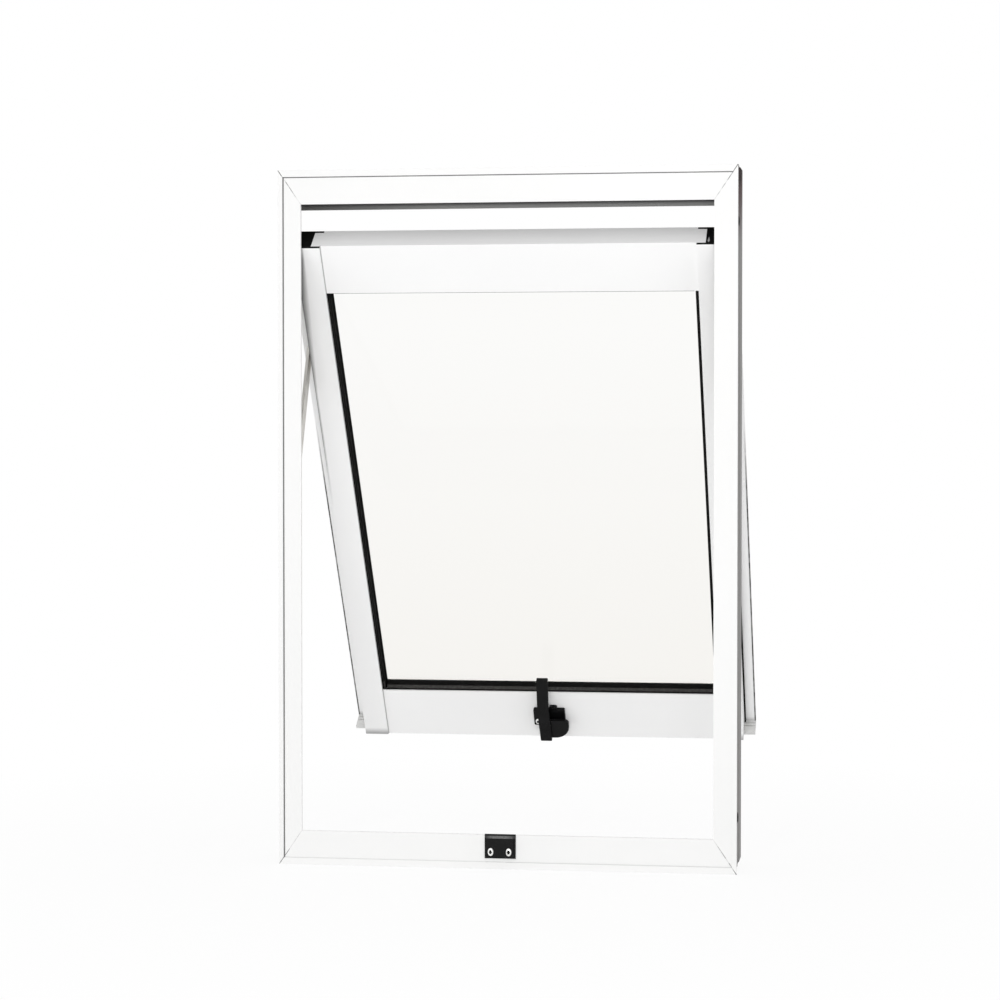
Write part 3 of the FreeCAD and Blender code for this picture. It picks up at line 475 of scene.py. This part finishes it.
keeper_skin = black_skin("keeper_hardware", "black_metal", (0.0034, 0.0034, 0.0036),
                         (0.0080, 0.0080, 0.0085), 0.34, 3000.0, 0.00002, 0.13)
keeper_x, _, keeper_z = keeper_skin.node("ShaderNodeSeparateXYZ", Vector=keeper_skin.place).outputs
RAMP_FOOT, RAMP_TOP, KEEPER_LEFT = 0.0207, 0.0228, 0.0042
from_middle = keeper_skin.math("ABSOLUTE", keeper_skin.math("ADD", keeper_x, KEEPER_LEFT))
ramp_highlight = keeper_skin.both(keeper_skin.inside(keeper_z, RAMP_FOOT, RAMP_TOP),
                          keeper_skin.between(from_middle, 0.0060, 0.0116, 1.0, 0.35),
                          keeper_skin.between(keeper_skin.noise(600.0, 3.0), 0.3, 0.7, 0.6, 1.0))
# Painted highlight on the keeper's ramp
stain(keeper_skin, ramp_highlight, (0.16, 0.16, 0.16))
print("dust on the gasket, wear on the keeper's ramp")

# %% [markdown]
# A small drop shaped light grey mark is painted on the right cap near the room side.
# Its half width shrinks from its round end to its point.

# %% Light mark on the right cap
plastic = finishes["black_plastic"]
cap_x, into_cap, up_cap = sash_axes(plastic)
MARK_X, MARK_START, MARK_WIDE, MARK_POINT, MARK_HALF = 0.1727, 0.0022, 0.0046, 0.0110, 0.00095
half = plastic.math("MINIMUM", plastic.between(into_cap, MARK_START, MARK_WIDE, 0.0003, MARK_HALF),
                    plastic.between(into_cap, MARK_WIDE, MARK_POINT, MARK_HALF, 0.0))
from_mark = plastic.math("ABSOLUTE", plastic.math("SUBTRACT", cap_x, MARK_X))
mark_here = plastic.both(plastic.math("LESS_THAN", from_mark, half),
                         plastic.math("GREATER_THAN", up_cap, -0.0002),
                         plastic.inside(into_cap, MARK_START, MARK_POINT))
# A light grey drop shaped mark on the top of the right cap
stain(plastic, mark_here, (0.42, 0.42, 0.42))
print("slot in the right cap, mm:", round((MARK_POINT - MARK_START) * 1000, 1))

# %% [markdown]
# ## Stay steel and rivets
# The stays are pressed from stainless strip. Rolling leaves fine lines along the
# strip, so the noise is stretched hard along one direction. Rivets are turned, so
# they only have a fine blotch.

# %% Steel


def steel(name, slot, base, shade, rough, stretch):
    metal = Finish(name, slot)
    lines = metal.noise(1800.0, 3.0, stretch)
    blotch = metal.noise(90.0, 3.0)
    metal.colour = metal.blend(metal.between(blotch, 0.3, 0.7, 0.0, 1.0), base, shade)
    metal.set(Base_Color=metal.colour, Metallic=1.0,
              Roughness=metal.between(lines, 0.3, 0.7, rough - 0.06, rough + 0.08),
              Normal=metal.bump(lines, 0.000012, 0.5))
    return metal


finishes["stay_steel"] = steel("stay_strip", "stay_steel", (0.79, 0.775, 0.74),
                               (0.68, 0.665, 0.63), 0.42, (1.0, 1.0, 0.03))
finishes["bright_rivet"] = steel("rivet_metal", "bright_rivet", (0.52, 0.51, 0.49),
                                 (0.42, 0.41, 0.39), 0.24, (1.0, 1.0, 1.0))
print("steel finishes ready")

# %% [markdown]
# ## Dress the CAD pieces
# Every CAD piece keeps its own mesh and takes the finish of its slot. The four frame
# members take the coat that draws the mitres, and the keeper its own black with a painted highlight
# on its ramp.

# %% Dress
own_finish = {"keeper": keeper_skin}
own_finish.update((name, frame_coat) for name in frame["nodes"]
                  if name.startswith("frame_") and "seal" not in name)
for name, piece in frame["nodes"].items():
    chosen = own_finish.get(name, finishes[slot_of[name]])
    piece.data.materials.clear()
    piece.data.materials.append(chosen.material)
    for face in piece.data.polygons:
        face.material_index = 0
print("dressed", len(frame["nodes"]), "pieces")

# %% [markdown]
# ## Screw heads
# Small pan head screws hold the keeper and the handle. One head is shaped here as a
# lathe would: rings of points from the rim over the crown into a deep star recess. The
# points in the recess carry an attribute, which the finish reads to turn dark there.
# The whole window is built as the photograph shows it, narrower than the real one, so
# the heads on its room side are a little oval, as they look there.

# %% One screw head


def pan_head(name, crown, recess, star, oval=(1.0, 1.0)):
    """A dome of radius 1 that stands on z = 0, with a six pointed recess in its top."""
    mesh = bpy.data.meshes.new(name)
    shell = bmesh.new()
    sunk = shell.verts.layers.float.new("sunk")
    turns = 36
    rings = [(1.0, 0.0, 0.0), (1.0, crown * 0.35, 0.0), (0.93, crown * 0.66, 0.0),
             (0.80, crown * 0.86, 0.0), (0.68, crown * 0.97, 0.0), (star * 1.06, crown, 0.0),
             (star, crown * 0.96, 0.6), (star * 0.86, crown - recess, 1.0)]
    rows = []
    for reach, height, dark in rings:
        row = []
        for i in range(turns):
            turn = i * math.tau / turns
            pull = 1.0 + (0.14 * math.cos(6 * turn) if height == crown or dark else 0.0)
            vert = shell.verts.new((oval[0] * reach * pull * math.cos(turn),
                                    oval[1] * reach * pull * math.sin(turn), height))
            vert[sunk] = dark
            row.append(vert)
        rows.append(row)
    for low, high in zip(rows, rows[1:]):
        for i in range(turns):
            j = (i + 1) % turns
            shell.faces.new((low[i], low[j], high[j], high[i]))
    shell.faces.new(list(reversed(rows[0])))
    shell.faces.new(rows[-1])
    bmesh.ops.recalc_face_normals(shell, faces=shell.faces)
    shell.to_mesh(mesh)
    shell.free()
    return bpy.data.objects.new(name, mesh)


OVAL = (0.82, 1.14)
screw_pattern = pan_head("screw_pattern", 0.55, 0.40, 0.50, OVAL)
flat_pattern = pan_head("flat_pattern", 0.24, 0.20, 0.42)
rivet_pattern = pan_head("rivet_pattern", 0.30, 0.06, 0.30)
print("screw head faces:", len(screw_pattern.data.polygons))

# %% [markdown]
# Zinc plating is a bright, faintly mottled metal. The attribute mixes it towards
# black in the recess, painted shade deep in the star.

# %% Zinc finish
zinc = steel("zinc_screw", "bright_rivet", (0.93, 0.93, 0.92),
             (0.84, 0.84, 0.82), 0.30, (1.0, 1.0, 1.0))
sunk_here = zinc.node("ShaderNodeAttribute", {"attribute_name": "sunk"}).outputs["Fac"]
# Painted shade in the recess
stain(zinc, sunk_here, (0.010, 0.010, 0.010))
print("zinc ready")

# %% [markdown]
# The tree below takes points with a facing direction and puts one head on each. The
# head, its size, the seed, the most that a head is turned and the finish are its
# named inputs.

# %% Screws on points


def fastener_tree():
    tree = bpy.data.node_groups.new("fasteners_on_points", "GeometryNodeTree")
    face = tree.interface
    face.new_socket("Geometry", in_out="INPUT", socket_type="NodeSocketGeometry")
    face.new_socket("Head", in_out="INPUT", socket_type="NodeSocketObject")
    face.new_socket("Radius", in_out="INPUT", socket_type="NodeSocketFloat")
    face.new_socket("Seed", in_out="INPUT", socket_type="NodeSocketInt")
    face.new_socket("Most turn", in_out="INPUT", socket_type="NodeSocketFloat")
    face.new_socket("Finish", in_out="INPUT", socket_type="NodeSocketMaterial")
    face.new_socket("Geometry", in_out="OUTPUT", socket_type="NodeSocketGeometry")
    add = tree.nodes.new
    join = tree.links.new
    source, sink = add("NodeGroupInput"), add("NodeGroupOutput")
    head = add("GeometryNodeObjectInfo")
    facing = add("GeometryNodeInputNamedAttribute")
    facing.data_type = "FLOAT_VECTOR"
    facing.inputs["Name"].default_value = "facing"
    stand = add("FunctionNodeAlignRotationToVector")
    stand.axis = "Z"
    chance = add("FunctionNodeRandomValue")
    chance.data_type = "FLOAT"
    chance.inputs[2].default_value = 0.0
    spin = add("ShaderNodeCombineXYZ")
    turn = add("FunctionNodeRotateRotation")
    turn.rotation_space = "LOCAL"
    place = add("GeometryNodeInstanceOnPoints")
    whole = add("GeometryNodeRealizeInstances")
    coat = add("GeometryNodeSetMaterial")
    join(source.outputs["Head"], head.inputs["Object"])
    join(facing.outputs["Attribute"], stand.inputs["Vector"])
    join(source.outputs["Seed"], chance.inputs["Seed"])
    join(source.outputs["Most turn"], chance.inputs[3])
    join(chance.outputs[1], spin.inputs["Z"])
    join(stand.outputs[0], turn.inputs["Rotation"])
    join(spin.outputs[0], turn.inputs["Rotate By"])
    join(source.outputs["Geometry"], place.inputs["Points"])
    join(head.outputs["Geometry"], place.inputs["Instance"])
    join(turn.outputs[0], place.inputs["Rotation"])
    join(source.outputs["Radius"], place.inputs["Scale"])
    join(place.outputs[0], whole.inputs[0])
    join(whole.outputs[0], coat.inputs["Geometry"])
    join(source.outputs["Finish"], coat.inputs["Material"])
    join(coat.outputs[0], sink.inputs[0])
    return tree


FASTENERS = fastener_tree()


def run_tree(name, mesh, tree, inputs):
    """Run a node tree once and keep the result as a plain mesh object."""
    carrier = bpy.data.objects.new(name + "_points", mesh)
    bpy.context.scene.collection.objects.link(carrier)
    step = carrier.modifiers.new("tree", "NODES")
    step.node_group = tree
    for item in tree.interface.items_tree:
        if item.in_out == "INPUT" and item.name in inputs:
            step[item.identifier] = inputs[item.name]
    ready = carrier.evaluated_get(bpy.context.evaluated_depsgraph_get())
    plain = bpy.data.meshes.new_from_object(ready)
    bpy.data.objects.remove(carrier)
    piece = bpy.data.objects.new(name, plain)
    bpy.context.scene.collection.objects.link(piece)
    return piece


def fasteners(name, spots, radius, finish, body, seed=3, pattern=None):
    """Screw heads at spots, each a place and a facing direction. Oval ones aren't turned."""
    mesh = bpy.data.meshes.new(name + "_spots")
    mesh.from_pydata([tuple(place) for place, _ in spots], [], [])
    facing = mesh.attributes.new("facing", "FLOAT_VECTOR", "POINT")
    for i, (_, direction) in enumerate(spots):
        facing.data[i].vector = direction
    made = run_tree(name, mesh, FASTENERS, {"Head": pattern or screw_pattern, "Radius": radius,
                                            "Seed": seed, "Finish": finish.material,
                                            "Most turn": math.pi / 2 if pattern else 0.0})
    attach(made, body)
    print(name, len(spots), "heads,", len(made.data.polygons), "faces")
    return made


ROOM = Vector((0, -1, 0))
KEEPER_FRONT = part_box("keeper")[0][1]
KEEPER_SCREW_X, KEEPER_SCREW_Z = (-0.0122, 0.0034), 0.0092
fasteners("keeper_screws", [((x, KEEPER_FRONT, KEEPER_SCREW_Z), ROOM) for x in KEEPER_SCREW_X],
          0.0031, zinc, "window")

# %% [markdown]
# The same tree sets the other fasteners: two screws in the handle's base plate, three
# in each track, two in each sash bar, a black plug in each of the four fixing holes
# and a rivet's snapped head on each arm, all facing the way that the tool came from.

# %% More screws
RAIL_SET, BASE_THICK, HANDLE_UP = 0.0015, 0.0035, 0.0223
BASE_FRONT = RAIL_SET - BASE_THICK
PIN = (-0.0053, HANDLE_UP - SASH_HEIGHT)
fasteners("handle_screws", [(on_sash(PIN[0] + dx, BASE_FRONT, PIN[1] + dz), SASH_ROOM)
                            for dx, dz in ((-0.0074, -0.0006), (0.0150, -0.0010))],
          0.0027, zinc, "window", seed=5)
WEB, TRACK_WALL, BAR_BACK = 0.0015, 0.0012, 0.0090
TRACK_FLOOR = HALF_WIDTH - WEB - TRACK_WALL
BAR_FACE = HALF_WIDTH - WEB - BAR_BACK
PLUG_BACK = 0.1977
TRACK_Y, PLUG_Y, BAR_IN = -0.0092, -0.022, 0.0175
TRACK_Z, BAR_UP, PLUG_Z, RIVET_Z = (0.282, 0.395, 0.570), (-0.020, -0.060), (0.0416, 0.5466), 0.2954
for side, sign in (("left", -1), ("right", 1)):
    inward = Vector((-sign, 0, 0))
    fasteners("track_screws_" + side,
              [((sign * TRACK_FLOOR, TRACK_Y, z), inward) for z in TRACK_Z],
              0.0033, zinc, "window", seed=7, pattern=flat_pattern)
    fasteners("bar_screws_" + side,
              [(on_sash(sign * BAR_FACE, BAR_IN, z), -inward) for z in BAR_UP],
              0.0029, zinc, "window", seed=9, pattern=flat_pattern)
    fasteners("fixing_plugs_" + side,
              [((sign * PLUG_BACK, PLUG_Y, z), -inward) for z in PLUG_Z],
              0.0044, finishes["black_plastic"], "window", seed=11, pattern=flat_pattern)
    rivet_end = min(abs(corner[0]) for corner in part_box("stay_jamb_pivot_" + side))
    fasteners("arm_rivet_" + side, [((sign * rivet_end, TRACK_Y, RIVET_Z), inward)],
              0.0036, finishes["bright_rivet"], "window", seed=13, pattern=rivet_pattern)

# %% [markdown]
# ## Room and light
# The photograph has a plain white ground. The world is white only where the camera,
# a mirror or the glass looks at it, and softer as a lamp, so that white pieces keep
# their shape.

# %% World
world = bpy.data.worlds.new("plain_room")
world.use_nodes = True
bpy.context.scene.world = world
sky = world.node_tree
ray = sky.nodes.new("ShaderNodeLightPath")
seen = sky.nodes.new("ShaderNodeMath")
seen.operation = "MAXIMUM"
seen_too = sky.nodes.new("ShaderNodeMath")
seen_too.operation = "MAXIMUM"
level = sky.nodes.new("ShaderNodeMapRange")
WORLD_LEVEL = 0.72
level.inputs["To Min"].default_value = WORLD_LEVEL
level.inputs["To Max"].default_value = 1.0
sky.links.new(ray.outputs["Is Camera Ray"], seen.inputs[0])
sky.links.new(ray.outputs["Is Glossy Ray"], seen.inputs[1])
sky.links.new(seen.outputs[0], seen_too.inputs[0])
sky.links.new(ray.outputs["Is Transmission Ray"], seen_too.inputs[1])
sky.links.new(seen_too.outputs[0], level.inputs["Value"])
sky.nodes["Background"].inputs["Color"].default_value = (1, 1, 1, 1)
sky.links.new(level.outputs[0], sky.nodes["Background"].inputs["Strength"])
print("world level", WORLD_LEVEL)

# %% [markdown]
# Two soft disk lamps stand in the room. The small one, high at the left, draws fine shadows
# under the head, where painted shade lies too; the shadow lines beside the lip are painted.
# The large one, low in front, reaches the faces of the leaning sash, which look a little downwards.

# %% Lamps


def lamp(name, place, target, size, power):
    light = bpy.data.lights.new(name, "AREA")
    light.shape = "DISK"
    light.size = size
    light.energy = power
    made = bpy.data.objects.new(name, light)
    place, target = Vector(place), Vector(target)
    forward = (target - place).normalized()
    side = forward.cross(Vector((0, 0, 1))).normalized()
    made.matrix_world = aim(place, forward, side)
    bpy.context.scene.collection.objects.link(made)
    return made


MIDDLE = (0, 0, 0.3)
lamp("front_key", (-0.30, -3.2, 2.30), MIDDLE, 0.45, 18.6)
lamp("low_front_fill", (0.25, -3.2, 0.35), MIDDLE, 1.4, 27.4)
print("lamps placed")

# %% [markdown]
# ## Floor
# The floor is pale and only darkens where the window shades it. Away from the window
# it fades to the plain white of the ground, by distance from the middle.

# %% Floor
FLOOR_Z = cad_box[0][2]
floor_mesh = bpy.data.meshes.new("pale_floor")
SPAN = 9.0
floor_mesh.from_pydata([(-SPAN, -SPAN, FLOOR_Z), (SPAN, -SPAN, FLOOR_Z), (SPAN, SPAN, FLOOR_Z),
                        (-SPAN, SPAN, FLOOR_Z)], [], [(0, 1, 2, 3)])
floor = bpy.data.objects.new("pale_floor", floor_mesh)
bpy.context.scene.collection.objects.link(floor)
ground = Finish("pale_floor", "none")
ground.set(Base_Color=(0.94, 0.94, 0.94, 1.0), Roughness=0.9, Specular_IOR_Level=0.1)
away = ground.node("ShaderNodeVectorMath", {"operation": "LENGTH"}, Vector=ground.place)
SHADE_NEAR, PLAIN_FAR = 0.30, 0.80
fade = ground.between(away.outputs["Value"], SHADE_NEAR, PLAIN_FAR, 0.92, 1.0)
path = ground.node("ShaderNodeLightPath")
camera_or_mirror = ground.math("MAXIMUM", path.outputs["Is Camera Ray"],
                               path.outputs["Is Glossy Ray"])
camera_or_mirror = ground.math("MAXIMUM", camera_or_mirror, path.outputs["Is Transmission Ray"])
white = ground.node("ShaderNodeEmission", Color=(1, 1, 1, 1), Strength=1.0)
mix = ground.node("ShaderNodeMixShader")
ground.feed(mix.inputs[0], ground.math("MULTIPLY", camera_or_mirror, fade))
ground.feed(mix.inputs[1], ground.skin.outputs[0])
ground.feed(mix.inputs[2], white.outputs[0])
ground.feed(ground.output.inputs[0], mix.outputs[0])
floor_mesh.materials.append(ground.material)
print("floor at", FLOOR_Z)

# %% [markdown]
# ## Finish
# The patterns were only there to be copied, so they go.

# %% Finish
bpy.context.scene.view_settings.view_transform = "Standard"
for pattern in (screw_pattern, flat_pattern, rivet_pattern):
    bpy.data.objects.remove(pattern)
